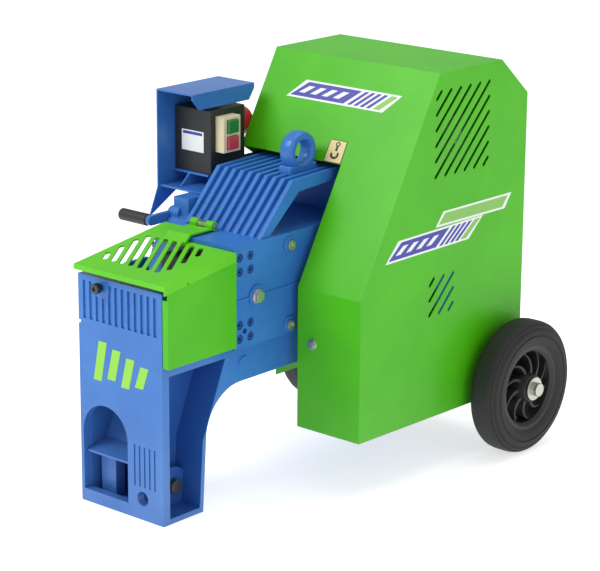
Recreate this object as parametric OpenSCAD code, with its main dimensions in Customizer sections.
// Electric rebar cutter: cast head and foot, gearbox, sheet-metal hood, two wheels.
// Millimetres. X to the right, Y to the rear, Z up from the ground.
// Lengths along Y are first given from the hood's front panel (y = 0) and then
// moved by place(), so that the origin is under the middle of the machine.

/* [Overall] */
// Wheel diameter
wheel_d = 250; // [220:5:300]
// Height of the hood above the ground
hood_h = 735; // [690:5:800]
// Width of the hood
hood_w = 380; // [370:5:440]
// Distance from the hood's front panel back to its rear panel
hood_l = 469; // [460:5:540]
// Distance from the hood's front panel forward to the face of the foot
foot_reach = 312; // [305:1:340]

/* [Head casting] */
// Width of the foot and leg
leg_w = 200; // [196:1:210]
// Distance of the leg's middle to the left of the machine's middle
leg_offset = 81; // [78:1:84]
// Height of the front plate
head_h = 414; // [412:1:418]
// Thickness of the front plate
plate_t = 16; // [12:1:20]
// Thickness of the leg's other walls
wall_t = 8; // [6:1:10]
// Depth of the foot, front to back
foot_depth = 98; // [90:1:110]
// Underside of the beam that carries the gearbox
beam_z = 215; // [210:1:225]
// Radius of the curve from the leg to the beam
throat_r = 86; // [70:1:90]
// Radius of the hole in the foot's face
foot_hole_r = 13; // [8:0.5:16]
// Grooves in the front plate
groove_count = 12; // [8:1:14]

/* [Gearbox] */
// Height of the crank axis
shaft_z = 366; // [362:1:370]
// Underside of the gearbox
box_z = 279; // [275:1:282]
// Top of the gearbox
box_top = 463; // [460:1:480]
// Wall of the gearbox
box_wall = 14; // [10:1:16]
// Wall of the round gear case
case_wall = 12; // [8:1:16]

/* [Cutting] */
// Throw of the eccentric
eccentric = 19; // [12:1:20]
// Height of the blades
blade_h = 72; // [60:2:80]
// Thickness of the blades
blade_t = 22; // [16:1:26]
// Opening between the blades at rest
throat_gap = 34; // [28:1:36]

/* [Gear train] */
// Module of the crank gear and its pinion
crank_module = 2.5; // [2.4:0.05:2.6]
// Module of the faster pair
fast_module = 2.5; // [2.4:0.1:2.6]
// Teeth of both pinions
pinion_teeth = 20; // [18:1:20]
// Teeth of the crank gear
crank_teeth = 72; // [68:1:72]
// Teeth of the faster gear
fast_teeth = 55; // [50:1:55]
// Outer radius of the flywheel
flywheel_r = 135; // [110:1:140]
// Radius of the motor pulley
pulley_r = 38; // [30:1:45]

/* [Lifting eye] */
// Radius of the eye's hole
eye_hole_r = 19; // [14:0.5:22]
// Outer radius of the eye
eye_r = 36; // [32:1:40]
// Thickness of the eye
eye_t = 30; // [22:1:36]

/* [Sheet metal] */
// Thickness of the hood sheet
sheet = 2; // [1.5:0.5:3]
// Thickness of the lid and guard plates
lid_t = 3; // [2:0.5:4]

/* [Wheels] */
// Width of a tyre
tyre_w = 60; // [50:1:66]
// Radius of the axle
axle_r = 12.5; // [10:0.5:14]
// Spokes of a wheel hub
spoke_count = 10; // [6:1:12]

/* [Controls] */
// Diameter of the lever's grip
grip_d = 22; // [18:1:30]
// Travel of the start and stop buttons
button_travel = 4; // [2:0.5:5]

/* [Hidden] */
$fn = 64;

cast_blue = [0.22, 0.45, 0.78];
hood_green = [0.36, 0.75, 0.14];
steel = [0.62, 0.63, 0.65];
dark_steel = [0.3, 0.31, 0.33];
black = [0.06, 0.06, 0.07];
ivory = [0.9, 0.86, 0.7];

running = 0.05;   // radial clearance of a shaft that turns in a bore
slip = 0.3;       // gap between faces of bodies that move past each other
lid_over = 10;    // how far the lid stands in front of the foot's face
wheel_r = wheel_d / 2;
wheel_y = hood_l - 55;
rear_y = wheel_y + wheel_r;
front_y = -foot_reach - lid_over;
centre_y = (front_y + rear_y) / 2;

leg_l = -leg_offset - leg_w / 2;
leg_r = -leg_offset + leg_w / 2;
plate_y = -foot_reach + plate_t;
foot_back = -foot_reach + foot_depth;
web_x = leg_r - 64;
web_t = 11;
knee_z = beam_z - throat_r;

box_l = -122;
box_r = leg_r + 11;
box_front = -147;
crank_y = -15;
crank_gear_r = crank_module * crank_teeth / 2;
inter_y = crank_y + crank_module * (crank_teeth + pinion_teeth) / 2;
fly_y = inter_y + fast_module * (fast_teeth + pinion_teeth) / 2;
tip = 0.9;         // height of a tooth over the pitch circle, in modules
gear_gap = 7.75;   // room round the crank gear
case_r = crank_gear_r + tip * crank_module + gear_gap + case_wall;
box_rear = fly_y + 46.25;
beam_end = fly_y + flywheel_r + 11.25;

module place() { translate([0, -centre_y, 0]) children(); }
module block(x0, x1, y0, y1, z0, z1) {
    translate([x0, y0, z0]) cube([x1 - x0, y1 - y0, z1 - z0]);
}
module x_rod(x0, x1, y, z, r) {
    translate([x0, y, z]) rotate([0, 90, 0]) cylinder(h = x1 - x0, r = r);
}
module y_rod(y0, y1, x, z, r) {
    translate([x, y1, z]) rotate([90, 0, 0]) cylinder(h = y1 - y0, r = r);
}
// Extrudes a side outline, drawn as (y, z), from x0 to x1
module side_plate(x0, x1) {
    translate([x0, 0, 0]) rotate([90, 0, 90]) linear_extrude(x1 - x0) children();
}
function arc(cy, cz, r, from, to, steps = 12) =
    [for (i = [0:steps]) let (a = from + (to - from) * i / steps)
        [cy + r * cos(a), cz + r * sin(a)]];
module x_hex(x0, x1, y, z, flats) {
    translate([x0, y, z]) rotate([0, 90, 0]) cylinder(h = x1 - x0, r = flats / sqrt(3), $fn = 6);
}

// ---- Head casting ----
joint_y = -150;
module leg_profile() side_plate(leg_l, leg_r) polygon(concat(
    [[plate_y, 0], [foot_back, 0]],
    arc(foot_back + wall_t + throat_r, knee_z, throat_r, 180, 90),
    [[beam_end, beam_z], [beam_end, box_z], [plate_y, box_z]]));

// Leg behind the front plate
module frame_leg() place() color(cast_blue) difference() {
    leg_profile();
    block(leg_l - 1, leg_r + 1, joint_y, beam_end + 1, 0, box_z + 1);
    // Space for the falling pieces behind the front plate
    side_plate(leg_l + wall_t, web_x - web_t) polygon([[plate_y - 1, 10], [foot_back - 10, 10],
        [foot_back - 4, knee_z], [-165, box_z + 1], [plate_y - 1, box_z + 1]]);
    // Open channel on the right side
    difference() {
        side_plate(web_x, leg_r + 5) polygon([[plate_y - 1, 10], [foot_back - 8, 10],
            [foot_back, knee_z], [-157, 266], [plate_y - 1, 266]]);
        x_rod(web_x - 1, web_x + 19, -243, 45, boss_r);
        block(web_x - 1, web_x + 19, -243 - boss_r, -243 + boss_r, 0, 45);
    }
    x_rod(web_x - web_t - 1, web_x + 20, -243, 45, foot_bolt_r);
}

// Beam behind the leg, with a seat for the round gear case
module gearbox_beam() place() color(cast_blue) difference() {
    union() {
        leg_profile();
        x_rod(leg_r - 1, leg_r + 3, -111, beam_z + 32, 13);
    }
    block(leg_l - 1, leg_r + 1, plate_y - 1, joint_y, -1, box_z + 1);
    block(leg_l + wall_t, leg_r - wall_t, -130, beam_end + 1, beam_z + 10, box_z - 10);
    x_rod(leg_l - 1, box_l, crank_y, shaft_z, case_r + 0.5);
}

module front_plate() place() color(cast_blue) difference() {
    block(leg_l, leg_r, -foot_reach, plate_y, 0, head_h);
    arch();
    y_rod(-foot_reach - 1, plate_y + 1, -31, 39, foot_hole_r);
    plate_grooves();
    y_rod(-foot_reach - 1, plate_y + 1, knob_x, knob_z, knob_pin_r + running);
    block(leg_l - 1, leg_l + 5, -foot_reach - 1, plate_y - 4, 325, 331);
}

// Left side of the throat, with a notch for the bars
module throat_wall() place() color(cast_blue) difference() {
    block(leg_l, leg_l + wall_t, plate_y, box_front, box_z, head_h - 4);
    block(leg_l - 1, leg_l + wall_t + 1, -246, -202, 322, head_h);
}
foot_bolt_r = 8;
boss_r = 34;
knob_x = -126;
knob_z = head_h - 16;
knob_pin_r = 4;
arch_r = 54;
arch_x = -120;
module arch() {
    block(arch_x - arch_r, arch_x + arch_r, -foot_reach - 1, plate_y + 1, 23, 132);
    y_rod(-foot_reach - 1, plate_y + 1, arch_x, 132, arch_r);
}
module plate_grooves() {
    pitch = (leg_w - 16) / groove_count;
    difference() {
        for (i = [0:groove_count - 1])
            block(leg_l + 8 + (i + 0.5) * pitch - 4, leg_l + 8 + (i + 0.5) * pitch + 4,
                -foot_reach - 1, -foot_reach + 3, head_h - 78, head_h - 10);
        y_rod(-foot_reach - 2, -foot_reach + 4, knob_x, knob_z, 20);
    }
    for (i = [0:4])
        block(leg_r - 70 + i * 12, leg_r - 66 + i * 12, -foot_reach - 1, -foot_reach + 2, 60, 134);
}

// Sloped shelf that turns the cut pieces out through the arch, on its foot
module chip_chute() place() color(cast_blue) {
    side_plate(leg_l + wall_t, arch_x + arch_r - 1) polygon([[-305, 90], [-256, 102],
        [-226, 166], [-226, 174], [-258, 106], [-305, 94]]);
    block(-160, -124, -284, -262, 10, 98);
}

module foot_bolt() place() color(dark_steel) {
    x_hex(web_x + 19, web_x + 29, -243, 45, 24);
    x_rod(web_x - web_t - 8, web_x + 19, -243, 45, foot_bolt_r);
}

// ---- Cutting throat ----
fixed_edge = -240;
moving_edge = fixed_edge + throat_gap;
blade_lo = shaft_z - blade_h / 2;
blade_hi = shaft_z + blade_h / 2;
shear_x = -46;
blade_w = 34;
stroke = 2 * eccentric;
ram_l = -80;
ram_r = -10;
ram_front = moving_edge + blade_t;
pitman_reach = 51;
ram_back = crank_y + eccentric - pitman_reach - stroke - 2;
guide_front = -182;
guide_back = -100;

module front_jaw_block() place() color(cast_blue) difference() {
    block(-112, 8, plate_y, fixed_edge - blade_t, box_z, blade_hi + 8);
    for (z = [blade_lo + 16, blade_hi - 16])
        y_rod(plate_y - 1, fixed_edge, shear_x - blade_w / 2, z, 5);
}
module fixed_blade() place() color(steel) difference() {
    block(shear_x - blade_w, shear_x, fixed_edge - blade_t, fixed_edge, blade_lo, blade_hi);
    blade_holes(shear_x - blade_w / 2, fixed_edge - blade_t, fixed_edge);
}
module moving_blade() place() color(steel) difference() {
    block(shear_x + slip, shear_x + slip + blade_w, moving_edge, ram_front, blade_lo, blade_hi);
    blade_holes(shear_x + slip + blade_w / 2, moving_edge, ram_front);
}
module blade_holes(x, y0, y1) {
    for (z = [blade_lo + 16, blade_hi - 16]) y_rod(y0 - 1, y1 + 1, x, z, 5);
}
module blade_screws() place() color(dark_steel)
    for (z = [blade_lo + 16, blade_hi - 16])
        y_rod(plate_y, fixed_edge - 4, shear_x - blade_w / 2, z, 5);

module ram() place() color(steel) {
    block(ram_l, ram_r, ram_front, ram_back, blade_lo + 1, blade_hi - 1);
    block(ram_r, ram_r + 20, ram_back - 13, ram_back, shaft_z - 12, shaft_z + 12);
    for (z = [blade_lo + 16, blade_hi - 16])
        y_rod(moving_edge + 4, ram_front, shear_x + slip + blade_w / 2, z, 5);
}
module guide_holes(z0) {
    for (y = [-132, -105], z = [z0, z0 + 25]) x_rod(-40, box_r, y, z, 4.2);
}
module upper_guide() place() color(dark_steel) difference() {
    union() {
        block(inner_l, inner_r, box_front, guide_back, blade_hi + 1, box_top - 11);
        block(inner_l, inner_r, guide_front, box_front, blade_hi + 1, box_top - 28);
    }
    guide_holes(417);
}
module lower_guide() place() color(dark_steel) difference() {
    union() {
        block(box_l + box_wall, box_r - box_wall, guide_front, guide_back, 287, blade_lo - 1);
        block(ram_r + 3, box_r - box_wall, guide_front, guide_front + 10, 310, shaft_z + 14);
    }
    guide_holes(297);
}
// Coil between the guide's post and the ram's heel
module return_spring() place() color(steel) {
    coils = 6;
    spring_y0 = guide_front + 10;
    pitch = (ram_back - 13 - spring_y0) / coils;
    for (i = [0:coils - 1])
        translate([ram_r + 12, spring_y0 + (i + 0.5) * pitch, shaft_z]) rotate([90, 0, 0])
            rotate_extrude($fn = 24) translate([7, 0]) circle(r = 1.4, $fn = 14);
}
module guide_screws() place() color(dark_steel)
    for (y = [-132, -105], z = [297, 322, 417, 442]) difference() {
        union() {
            x_rod(-38, box_r - 6, y, z, 4.2);
            x_rod(box_r - 6, box_r - 1, y, z, 6.5);
        }
        x_hex(box_r - 4, box_r, y, z, 6);
    }
module body_bolts() place() color(steel) {
    x_hex(box_r + 5, box_r + 11, -90, shaft_z, 19);
    x_rod(box_r + 3, box_r + 5, -90, shaft_z, 13);
    for (z = [296, 441]) difference() {
        x_rod(box_r + 3, box_r + 9, -5.5, z, 9);
        x_hex(box_r + 5, box_r + 10, -5.5, z, 8);
    }
}

// ---- Gearbox ----
bearing_crank_r = 40;
journal_r = 28;
inter_bearing_r = 21;
fly_bearing_r = 26;
shaft_r = 15;
inner_r = box_r - box_wall;
inner_l = box_l + box_wall;

module gearbox_body() place() color(cast_blue) difference() {
    union() {
        difference() {
            block(box_l, box_r, box_front, box_rear, box_z, box_top);
            block(inner_l, inner_r, box_front - 1, box_rear - box_wall, box_z + 8, 452);
        }
        for (b = [[crank_y, 52], [inter_y, 32], [fly_y, 34]]) {
            x_rod(box_l + 1, inner_l + 12, b[0], shaft_z, b[1]);
            x_rod(inner_r - 28, box_r - 1, b[0], shaft_z, b[1]);
        }
        for (z = [296, 441]) x_rod(box_r - 1, box_r + 3, -5.5, z, 15);
        x_rod(box_r - 1, box_r + 3, -90, shaft_z, 20);
        block(box_r - 1, box_r + 2, box_front + 5, box_rear, shaft_z - 2, shaft_z + 2);
    }
    x_rod(box_l - 1, inner_l + 13, crank_y, shaft_z, bearing_crank_r);
    x_rod(inner_r - 29, inner_r, crank_y, shaft_z, bearing_crank_r);
    x_rod(box_l - 1, inner_l + 13, inter_y, shaft_z, inter_bearing_r);
    x_rod(inner_r - 29, inner_r, inter_y, shaft_z, inter_bearing_r);
    x_rod(box_l + 8, inner_l + 13, fly_y, shaft_z, fly_bearing_r);
    x_rod(inner_r - 29, box_r + 3, fly_y, shaft_z, fly_bearing_r);
    guide_screw_seats();
    x_rod(box_r - 12, box_r + 1, -119, 309, 5);
}
module guide_screw_seats()
    for (y = [-132, -105], z = [297, 322, 417, 442]) {
        x_rod(inner_r - 1, box_r + 1, y, z, 4.2);
        x_rod(box_r - 6, box_r + 1, y, z, 8);
    }

// Round cover of the crank gear, with a lobe over the pinion
module gear_case() place() color(cast_blue) difference() {
    union() {
        x_rod(case_l, box_l, crank_y, shaft_z, case_r);
        x_rod(case_l, box_l, inter_y, shaft_z, lobe_r);
        block(case_l, box_l, crank_y, inter_y, shaft_z - lobe_r, shaft_z + lobe_r);
        block(case_l, cover_l - 5, crank_y - 45, crank_y + 35, shaft_z + 90, case_top);
        x_rod(case_l - 2, case_l + 16, lever_y, lever_z, 16);
    }
    x_rod(case_l + 7, box_l + 1, crank_y, shaft_z, case_r - case_wall);
    x_rod(case_l + 7, box_l + 1, inter_y, shaft_z, lobe_r - 8);
    x_rod(case_l - 3, case_l + 8, lever_y, lever_z, lever_pin_r + running);
}
case_l = -196;
case_top = 500;
lobe_r = 44;
lever_y = -52;
lever_z = shaft_z + 102;
lever_pin_r = 8;
module gear_case_screws() place() color(dark_steel)
    for (a = [45, 150, 195, 240, 285, 330])
        x_hex(case_l - 5, case_l, crank_y + (case_r - 6) * cos(a),
            shaft_z + (case_r - 6) * sin(a), 10);

// ---- Ribbed cover and lifting eye ----
cover_l = -155;
cover_r = 26;
cover_rear = 190;
rib_count = 10;
cover_top = 552;
eye_x = -20;
eye_y = 74;
eye_z = cover_top + 36;
module cover_line(drop)
    polygon([[-75 + drop, box_top], [9 + drop * 0.7, cover_top - drop],
        [cover_rear, cover_top + 6 - drop], [cover_rear, cover_top - 14], [26, cover_top - 22],
        [-52, box_top]]);
module ribbed_cover() place() color(cast_blue) difference() {
    cover_ribs();
    x_rod(cover_l - 1, box_l, crank_y, shaft_z, case_r + 0.5);
}
module cover_ribs() {
    side_plate(cover_l, cover_r) cover_line(8);
    pitch = (cover_r - cover_l - 9) / (rib_count - 1);
    for (i = [0:rib_count - 1])
        side_plate(cover_l + i * pitch, cover_l + i * pitch + 9) cover_line(0);
    block(cover_l + 12, cover_r - 12, 160, 172, box_top, cover_top - 14);
}
module lifting_eye() place() color(cast_blue) difference() {
    union() {
        x_rod(eye_x - eye_t / 2, eye_x + eye_t / 2, eye_y, eye_z, eye_r);
        block(eye_x - eye_t / 2, eye_x + eye_t / 2, eye_y - eye_r, eye_y + eye_r,
            cover_top - 5, eye_z);
    }
    x_rod(eye_x - eye_t, eye_x + eye_t, eye_y, eye_z, eye_hole_r);
}

// ---- Gear train ----
// Tooth outline with narrow teeth, one tooth centred on the given angle
module gear_outline(m, teeth, start) {
    pitch_r = m * teeth / 2;
    step = 360 / teeth;
    polygon([for (i = [0:teeth - 1], p = [[-1.2, -0.24], [tip, -0.11], [tip, 0.11], [-1.2, 0.24]])
        let (r = pitch_r + p[0] * m, a = start + (i + p[1]) * step) [r * cos(a), r * sin(a)]]);
}
module gear_on(x0, x1, y, m, teeth, start)
    side_plate(x0, x1) translate([y, shaft_z]) gear_outline(m, teeth, start);

module crankshaft() place() color(steel) {
    x_rod(-186, -84, crank_y, shaft_z, journal_r);
    x_rod(-84, -42, crank_y + eccentric, shaft_z, ecc_r);
    x_rod(-42, inner_r - 4, crank_y, shaft_z, journal_r);
}
ecc_r = 34;
module ring(x0, x1, y, inner, outer) difference() {
    x_rod(x0, x1, y, shaft_z, outer);
    x_rod(x0 - 1, x1 + 1, y, shaft_z, inner);
}
module crank_bearings() place() color(steel) {
    ring(box_l, -98, crank_y, journal_r + running, bearing_crank_r);
    ring(-12, inner_r - 2, crank_y, journal_r + running, bearing_crank_r);
}
module crank_gear() place() color(dark_steel) difference() {
    gear_on(-182, -150, crank_y, crank_module, crank_teeth, 0);
    x_rod(-190, -140, crank_y, shaft_z, journal_r);
    for (a = [30:60:330])
        x_rod(-190, -140, crank_y + 57 * cos(a), shaft_z + 57 * sin(a), 16);
}
// Ring on the eccentric with a flat nose that pushes the ram
module pitman() place() color(steel) difference() {
    union() {
        x_rod(-80, -46, crank_y + eccentric, shaft_z, 46);
        block(-78, -48, crank_y + eccentric - pitman_reach, crank_y + eccentric,
            shaft_z - 18, shaft_z + 18);
    }
    x_rod(-85, -41, crank_y + eccentric, shaft_z, ecc_r + running);
}
module intermediate_shaft() place() color(steel) {
    x_rod(-186, inner_r - 4, inter_y, shaft_z, shaft_r);
    gear_on(-184, -148, inter_y, crank_module, pinion_teeth, 9);
}
module fast_gear() place() color(dark_steel) difference() {
    gear_on(-40, -16, inter_y, fast_module, fast_teeth, 0);
    x_rod(-42, -14, inter_y, shaft_z, shaft_r);
}
module shaft_bearings() place() color(steel) {
    ring(box_l, -98, inter_y, shaft_r + running, inter_bearing_r);
    ring(-8, inner_r - 2, inter_y, shaft_r + running, inter_bearing_r);
    ring(-112, -98, fly_y, shaft_r + running, fly_bearing_r);
    ring(0, box_r, fly_y, shaft_r + running, fly_bearing_r);
}
module flywheel_shaft() place() color(steel) {
    x_rod(-112, fly_x1 + 4, fly_y, shaft_z, shaft_r);
    gear_on(-42, -14, fly_y, fast_module, pinion_teeth, 9);
}
fly_x0 = 104;
fly_x1 = 160;
groove_x = [fly_x0 + 14, fly_x0 + 34];
module pulley_profile(outer, hub, web, depth)
    difference() {
        union() {
            x_rod(fly_x0, fly_x1, 0, 0, hub);
            x_rod(fly_x0 + 18, fly_x0 + 38, 0, 0, web);
            difference() {
                x_rod(fly_x0, fly_x1, 0, 0, outer);
                x_rod(fly_x0 - 1, fly_x1 + 1, 0, 0, web);
            }
        }
        for (x = groove_x) difference() {
            x_rod(x - 6, x + 6, 0, 0, outer + 1);
            x_rod(x - 7, x + 7, 0, 0, outer - depth);
        }
        x_rod(fly_x0 - 1, fly_x1 + 1, 0, 0, hub > 30 ? shaft_r : motor_shaft_r);
    }
module flywheel() place() color(dark_steel)
    translate([0, fly_y, shaft_z]) pulley_profile(flywheel_r, 36, flywheel_r - 32, belt_h + 1);
belt_h = 8;
motor_y = 300;
motor_z = 600;
motor_r = 76;
motor_shaft_r = 14;
module motor_pulley() place() color(dark_steel)
    translate([0, motor_y, motor_z]) pulley_profile(pulley_r + belt_h, 24, 26, belt_h + 1);
// Closed loop round the flywheel and the motor pulley
function belt_path(r1, r2) =
    let (dy = motor_y - fly_y, dz = motor_z - shaft_z, along = atan2(dz, dy),
        open = acos((r1 - r2) / norm([dy, dz])))
    concat(arc(fly_y, shaft_z, r1, along + open, along + 360 - open, 40),
        arc(motor_y, motor_z, r2, along - open, along + open, 20));
module v_belts() place() color(black)
    for (x = groove_x) side_plate(x - 5, x + 5) difference() {
        polygon(belt_path(flywheel_r - 0.5, pulley_r + belt_h - 0.5));
        polygon(belt_path(flywheel_r - belt_h, pulley_r));
    }

// ---- Motor ----
module motor_body() place() color(dark_steel) difference() {
    union() {
        x_rod(-120, 66, motor_y, motor_z, motor_r - 4);
        for (x = [-120, 50]) x_rod(x, x + 16, motor_y, motor_z, motor_r);
        block(-100, 46, motor_y - 55, motor_y + 55, shelf_z + 8, motor_z - 40);
    }
    x_rod(-100, 40, motor_y, motor_z, 44);
    x_rod(-125, 70, motor_y, motor_z, motor_shaft_r + running);
}
module motor_fan_cover() place() color(dark_steel) difference() {
    x_rod(-168, -120, motor_y, motor_z, motor_r - 2);
    x_rod(-165, -119, motor_y, motor_z, motor_r - 5);
    for (a = [0:30:330]) x_rod(-170, -160, motor_y + 45 * cos(a), motor_z + 45 * sin(a), 7);
}
module motor_shaft() place() color(steel) {
    x_rod(-160, fly_x1 + 4, motor_y, motor_z, motor_shaft_r);
    x_rod(-98, 38, motor_y, motor_z, 42);
    x_rod(-155, -130, motor_y, motor_z, 60);
}
module terminal_box() place() color(dark_steel)
    block(-60, 20, motor_y - 36, motor_y + 36, motor_z + motor_r - 12, motor_z + motor_r + 28);
shelf_z = 500;
chassis_x = hood_w / 2 - sheet - 6;
module motor_shelf() place() color(cast_blue) difference() {
    block(-chassis_x, chassis_x, motor_y - 70, hood_l - 25, shelf_z, shelf_z + 8);
    block(fly_x0 - 4, fly_x1 + 8, motor_y - 71, motor_y + 50, shelf_z - 1, shelf_z + 9);
}
module rear_chassis() place() color(cast_blue) difference() {
    union() {
        for (s = [-1, 1])
            side_plate(s * chassis_x + (s > 0 ? 0 : -5), s * chassis_x + (s > 0 ? 5 : 0))
                polygon([[215, 280], [215, shelf_z + 8], [hood_l - 6, shelf_z + 8],
                    [hood_l - 6, wheel_r - 21], [wheel_y - 70, wheel_r - 21]]);
        block(-chassis_x, chassis_x, beam_end, beam_end + 8, wheel_r - 21, shelf_z);
    }
    x_rod(-chassis_x - 10, chassis_x + 10, wheel_y, wheel_r, axle_r);
    y_rod(beam_end - 1, beam_end + 9, 0, 400, 45);
}

// ---- Hood ----
bend_z = 366;
slope_lean = 0.5637;   // run of the sloping panel over its rise
slope_top_y = (hood_h - bend_z) * slope_lean;
top_rear_y = hood_l - 81;
chamfer_z = hood_h - 71;
hood_x = hood_w / 2;
hood_low = 102;
cut_x = 47;
cut_z = 566;
cut_y = slope_top_y * (cut_z - bend_z) / (hood_h - bend_z);
vent_pitch = 28;
slot_half = 3.2;
module hood() place() color(hood_green) {
    difference() {
        side_plate(hood_x - sheet, hood_x) polygon([[0, hood_low + 6], [0, bend_z],
            [slope_top_y, hood_h], [top_rear_y, hood_h], [hood_l, chamfer_z],
            [hood_l, hood_low]]);
        vent(201, 550, 152, 5);
        vent(192, 299, 67, 2);
        x_rod(hood_x - 5, hood_x + 5, wheel_y, wheel_r, axle_r + 1);
    }
    difference() {
        side_plate(-hood_x, sheet - hood_x) polygon([[slope_top_y, hood_low],
            [slope_top_y, 505], [cut_y, cut_z], [slope_top_y, hood_h], [top_rear_y, hood_h],
            [hood_l, chamfer_z], [hood_l, hood_low]]);
        translate([-hood_w, 0, 0]) vent(222, 550, 130, 4);
        x_rod(-hood_x - 5, 5 - hood_x, wheel_y, wheel_r, axle_r + 1);
    }
    side_plate(sheet - hood_x, hood_x - sheet)
        polygon([[cut_y, cut_z], [slope_top_y, hood_h], [top_rear_y, hood_h],
            [hood_l, chamfer_z], [hood_l, hood_low], [hood_l - sheet, hood_low],
            [hood_l - sheet, chamfer_z - 1], [top_rear_y - 1, hood_h - sheet],
            [slope_top_y + 1.3, hood_h - sheet], [cut_y + 2.2, cut_z]]);
    difference() {
        side_plate(cut_x, hood_x - sheet)
            polygon([[0, hood_low + 6], [0, bend_z], [cut_y, cut_z], [cut_y + 2.2, cut_z],
                [sheet, bend_z - 0.5], [sheet, hood_low + 6]]);
        y_rod(-1, sheet + 1, hood_bolt_x, hood_bolt_z, 4);
    }
}
// Rows of slots at 45 degrees, clipped to a square of the given side
module vent(y0, z0, side, reach)
    for (k = [-reach:reach]) let (run = side - vent_pitch * abs(k))
        if (run > 4) translate([hood_x, y0 + side / 2 - vent_pitch * k / 2,
            z0 + side / 2 + vent_pitch * k / 2]) rotate([45, 0, 0]) {
            block(-5, 5, -run * 0.7, run * 0.7, -slot_half, slot_half);
            for (s = [-1, 1]) x_rod(-5, 5, s * run * 0.7, 0, slot_half);
        }
hood_bolt_x = 82;
hood_bolt_z = 268;
module hood_bolts() place() color(steel) {
    x = hood_bolt_x;
    z = hood_bolt_z;
    y_rod(-2, 0, x, z, 10);
    translate([x, -2, z]) rotate([90, 0, 0]) cylinder(h = 6, r = 7.5, $fn = 6);
    y_rod(0, 12, x, z, 4);
    for (s = [-1, 1], h = [160, 560]) y_rod(hood_l, hood_l + 5, s * 150, h, 7);
}

// ---- Wheels ----
tyre_x = hood_x + 13.5;
rim_r = 80;
module axle() place() color(steel) x_rod(-tyre_x - tyre_w - 16, tyre_x + tyre_w + 16, wheel_y,
    wheel_r, axle_r);
module axle_washers() place() color(steel)
    for (x = [-tyre_x - tyre_w - 5, -tyre_x + 1, tyre_x - 4, tyre_x + tyre_w + 1]) difference() {
        x_rod(x, x + 3.5, wheel_y, wheel_r, 22);
        x_rod(x - 1, x + 5, wheel_y, wheel_r, axle_r);
    }
module tyre(x0) place() color(black)
    translate([x0 + tyre_w / 2, wheel_y, wheel_r]) rotate([0, 90, 0]) rotate_extrude($fn = 96)
        polygon([[rim_r, -24], [86, -26], [94, -tyre_w / 2], [108, -tyre_w / 2], [117, -26],
            [122, -20], [wheel_r, -8], [wheel_r, 8], [122, 20], [117, 26],
            [108, tyre_w / 2], [94, tyre_w / 2], [86, 26], [rim_r, 24]]);
module hub(x0) place() color(black) difference() {
    union() {
        difference() {
            x_rod(x0 + 6, x0 + tyre_w - 6, wheel_y, wheel_r, rim_r);
            x_rod(x0 + 5, x0 + tyre_w - 5, wheel_y, wheel_r, rim_r - 9);
        }
        x_rod(x0, x0 + tyre_w, wheel_y, wheel_r, 26);
        for (i = [0:spoke_count - 1])
            translate([x0 + 12, wheel_y, wheel_r]) rotate([i * 360 / spoke_count, 0, 0])
                block(0, tyre_w - 24, 20, rim_r - 5, -4, 4);
    }
    x_rod(x0 - 1, x0 + tyre_w + 1, wheel_y, wheel_r, axle_r + running);
}
module tyre_left() tyre(-tyre_x - tyre_w);
module tyre_right() tyre(tyre_x);
module hub_left() hub(-tyre_x - tyre_w);
module hub_right() hub(tyre_x);

// ---- Guard and lid ----
guard_x = box_r;
lid_l = leg_l;
lid_r = guard_x + lid_t + 1 + lid_t;
lid_front_z = head_h + 18;
lid_back_z = lid_front_z + 24;
lid_back_y = box_front - 2;
pin_y = -88;
pin_z = box_top + 9;
pin_r = 4;
tab_r = -70;
tongue_y = -98;
function lid_z(y) = lid_front_z + (y - front_y) * (lid_back_z - lid_front_z)
    / (lid_back_y - front_y);
module side_guard() place() color(hood_green) {
    side_plate(guard_x, guard_x + lid_t) polygon([[1 - foot_reach, 284], [box_front + 4, 284],
        [box_front + 4, lid_z(box_front) - lid_t - 2], [1 - foot_reach,
        lid_z(1 - foot_reach) - lid_t - 2]]);
    block(leg_r, guard_x, 1 - foot_reach, 1 + lid_t - foot_reach, 284, head_h - 10);
}
module lid() place() color([0.48, 0.8, 0.22]) difference() {
    union() {
        side_plate(lid_l, lid_r) polygon([[front_y, lid_front_z - 9],
            [front_y, lid_front_z], [lid_back_y, lid_back_z], [lid_back_y, lid_back_z - lid_t],
            [front_y + lid_t, lid_front_z - lid_t], [front_y + lid_t, lid_front_z - 9]]);
        side_plate(lid_r - lid_t, lid_r) polygon([[front_y, lid_front_z - 16],
            [front_y, lid_front_z], [lid_back_y, lid_back_z], [lid_back_y, lid_back_z - 16]]);
        // Tongue beside the gearbox, and the strip that climbs over its front edge
        side_plate(lid_l, box_l - 1) polygon([[lid_back_y - 1, lid_back_z],
            [lid_back_y - 1, lid_back_z - lid_t], [tongue_y, lid_z(tongue_y) - lid_t],
            [tongue_y, lid_z(tongue_y)]]);
        side_plate(box_l - 1, tab_r) polygon([[lid_back_y - 18, lid_z(lid_back_y - 18)],
            [lid_back_y - 14, lid_z(lid_back_y - 14) - lid_t], [box_front, box_top + 3],
            [pin_y, box_top + 3], [pin_y, box_top + 3 + lid_t],
            [box_front - 3, box_top + 3 + lid_t]]);
        for (x = [box_l - 1, tab_r - 16]) x_rod(x, x + 16, pin_y, pin_z, 8);
    }
    x_rod(box_l - 2, tab_r + 1, pin_y, pin_z, pin_r + running);
    block(box_l + 15, tab_r - 16, pin_y - 10, pin_y + 10, pin_z - 10, pin_z + 12);
    lid_slots();
    block(lid_r - lid_t - 1, lid_r + 1, -270, -264, lid_front_z - 18, lid_front_z - 4);
}
slot_w = 10;
slot_pitch = 21;
slot_lean = 73;
slots_l = -165;
slots_r = -12;
slots_front = -281;
slots_back = -161;
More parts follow.
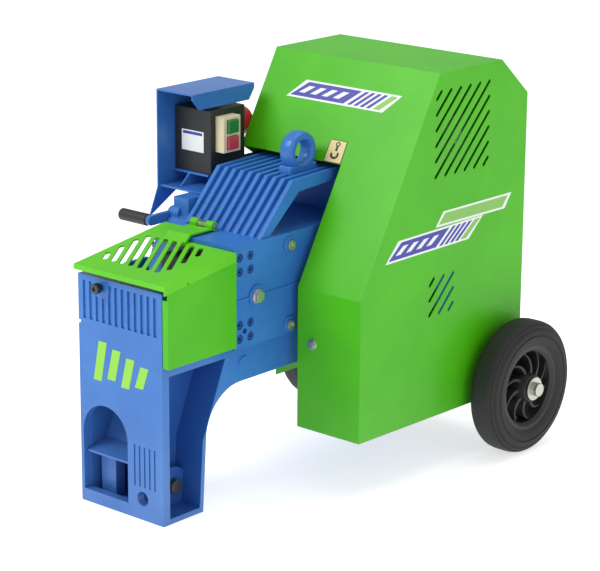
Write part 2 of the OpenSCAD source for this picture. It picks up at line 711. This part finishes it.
// Leaning slots, clipped to the field between slots_l and slots_r
module lid_slots() {
    full = norm([slot_lean, slots_back - slots_front]);
    turn = atan2(slots_back - slots_front, -slot_lean);
    for (i = [0:9]) {
        foot_x = slots_l + 17 + i * slot_pitch;
        t0 = max(0, (foot_x - slots_r) / slot_lean);
        t1 = min(1, (foot_x - slots_l) / slot_lean);
        y = slots_front + (slots_back - slots_front) * (t0 + t1) / 2;
        run = full * (t1 - t0) - slot_w;
        translate([foot_x - slot_lean * (t0 + t1) / 2, y, lid_z(y) - 14]) rotate([0, 0, turn]) {
            block(-run / 2, run / 2, -slot_w / 2, slot_w / 2, 0, 24);
            for (s = [-1, 1]) translate([s * run / 2, 0, 0]) cylinder(h = 24, r = slot_w / 2);
        }
    }
}
module lid_hinge_pin() place() color(steel) {
    x_rod(box_l - 1, tab_r + 3, pin_y, pin_z, pin_r);
    block(box_l + 16, tab_r - 17, pin_y - 6, pin_y + 6, box_top, pin_z + 5);
}
module lid_knob() place() color(black) {
    y_rod(-foot_reach - 16, -foot_reach - slip, knob_x, knob_z, 11.5);
    y_rod(-foot_reach - slip, plate_y + 1, knob_x, knob_z, knob_pin_r);
    block(knob_x - 4, knob_x + 4, plate_y + slip, plate_y + 6, knob_z - 6, knob_z + 9);
}

// ---- Lever ----
lever_l = case_l - 3;
grip_y = lever_y - 60;
module lever_arm() place() color(cast_blue) difference() {
    union() {
        block(lever_l - 9, lever_l, grip_y, lever_y, lever_z - 13, lever_z + 5);
        x_rod(lever_l - 9, lever_l, lever_y, lever_z - 2, 14);
        x_rod(lever_l - 9, lever_l, grip_y, lever_z - 4, 9);
        x_rod(lever_l - 20, lever_l, grip_y, lever_z - 4, 6);
    }
    x_rod(lever_l - 10, lever_l + 1, lever_y, lever_z, lever_pin_r);
}
module lever_grip() place() color(black) difference() {
    x_rod(lever_l - 76, lever_l - 9, grip_y, lever_z - 4, grip_d / 2);
    x_rod(lever_l - 20, lever_l, grip_y, lever_z - 4, 6);
}
module lever_shaft() place() color(steel) x_rod(lever_l - 12, case_l + 7.5, lever_y, lever_z,
    lever_pin_r);

// ---- Switch ----
bracket_l = -270;
bracket_r = -180;
bracket_front = -27;
bracket_rear = 136;
bracket_top = 680;
bracket_t = 3;
shelf_top = 528;
base_z = case_top;
module switch_bracket() place() color(cast_blue) {
    side_plate(bracket_l, bracket_l + bracket_t) polygon([[bracket_front, bracket_top],
        [bracket_rear, bracket_top], [bracket_rear, base_z - 14], [20, base_z - 14],
        [bracket_front - 22, base_z - 52], [bracket_front, base_z]]);
    block(bracket_l, bracket_r, bracket_front, bracket_rear, bracket_top - bracket_t,
        bracket_top);
    side_plate(bracket_r - bracket_t, bracket_r) polygon([[bracket_front, bracket_top],
        [bracket_rear, bracket_top], [bracket_rear, bracket_top - 10],
        [bracket_rear - 14, bracket_top - 30], [bracket_front + 18, bracket_top - 30],
        [bracket_front, bracket_top - 10]]);
    block(bracket_l, bracket_r, 12, bracket_rear, shelf_top - 4, shelf_top);
    block(bracket_l, -158, -22, 60, base_z, base_z + 4);
    side_plate(bracket_l + 40, bracket_l + 44) polygon([[-10, base_z + 4],
        [12, shelf_top - 4], [110, shelf_top - 4], [60, base_z + 4]]);
}
box_x0 = -264;
box_x1 = -176;
box_y0 = 16;
box_y1 = 106;
box_z0 = shelf_top;
box_z1 = 645;
box_wall_t = 4;
button_y = 49.5;
start_z = 616;
stop_z = 586;
bezel_x1 = box_x1 + 21;
button_w = 27;
button_h = 24;
module button_hole(x0, x1, z, gap)
    block(x0, x1, button_y - button_w / 2 - gap, button_y + button_w / 2 + gap,
        z - button_h / 2 - gap, z + button_h / 2 + gap);
module switch_box() place() color(black) difference() {
    block(box_x0, box_x1, box_y0, box_y1, box_z0, box_z1);
    block(box_x0 + box_wall_t, box_x1 - box_wall_t, box_y0 + box_wall_t, box_y1 - box_wall_t,
        box_z0 + box_wall_t, box_z1 - box_wall_t);
    for (z = [start_z, stop_z]) button_hole(box_x1 - 5, box_x1 + 1, z, -4);
}
module button_bezel() place() color(ivory) difference() {
    block(box_x1, bezel_x1, button_y - 22, button_y + 22, stop_z - 17, start_z + 18);
    block(box_x1 - 1, bezel_x1 - 3, button_y - 18, button_y + 18, stop_z - 14, start_z + 14);
    for (z = [start_z, stop_z]) button_hole(box_x1, bezel_x1 + 1, z, slip);
}
module button(z) {
    button_hole(bezel_x1 - 9, bezel_x1 + 1 + button_travel, z, 0);
    block(box_x1 - 2, bezel_x1 - 9, button_y - 6, button_y + 6, z - 6, z + 6);
}
module start_button() place() color([0.1, 0.45, 0.2]) button(start_z);
module stop_button() place() color([0.7, 0.1, 0.15]) button(stop_z);

inlet_x = -217;
inlet_z = 604;
inlet_r = 26;
inlet_y1 = box_y1 + 40;
module power_inlet() place() color([0.7, 0.08, 0.12]) {
    difference() {
        y_rod(box_y1, inlet_y1, inlet_x, inlet_z, inlet_r);
        y_rod(box_y1 + 8, inlet_y1 + 1, inlet_x, inlet_z, inlet_r - 4);
    }
    for (a = [0:72:288]) y_rod(box_y1 + 7, inlet_y1 - 6, inlet_x + 13 * sin(a),
        inlet_z + 13 * cos(a), 2.5);
}
// Held cable from the switch box, through the hood, to the motor's terminal box
cable_r = 5;
cable_points = [[-182, box_y1, 545], [-182, 222, 545], [-182, 222, 690], [-182, 300, 690],
    [-60, 300, 690]];
module motor_cable() place() color(black) {
    p = cable_points;
    y_rod(p[0][1], p[1][1], p[0][0], p[0][2], cable_r);
    translate(p[1]) cylinder(h = p[2][2] - p[1][2], r = cable_r);
    y_rod(p[2][1], p[3][1], p[2][0], p[2][2], cable_r);
    x_rod(p[3][0], p[4][0], p[3][1], p[3][2], cable_r);
    for (i = [1:3]) translate(p[i]) sphere(r = cable_r);
}

frame_leg();
gearbox_beam();
front_plate();
throat_wall();
chip_chute();
foot_bolt();
front_jaw_block();
fixed_blade();
moving_blade();
blade_screws();
ram();
upper_guide();
lower_guide();
return_spring();
guide_screws();
body_bolts();
gearbox_body();
gear_case();
gear_case_screws();
ribbed_cover();
lifting_eye();
crankshaft();
crank_bearings();
crank_gear();
pitman();
intermediate_shaft();
fast_gear();
shaft_bearings();
flywheel_shaft();
flywheel();
v_belts();
motor_body();
motor_fan_cover();
motor_shaft();
motor_pulley();
terminal_box();
motor_shelf();
rear_chassis();
hood();
hood_bolts();
axle();
axle_washers();
tyre_left();
tyre_right();
hub_left();
hub_right();
side_guard();
lid();
lid_hinge_pin();
lid_knob();
lever_arm();
lever_grip();
lever_shaft();
switch_bracket();
switch_box();
button_bezel();
start_button();
stop_button();
power_inlet();
motor_cable();
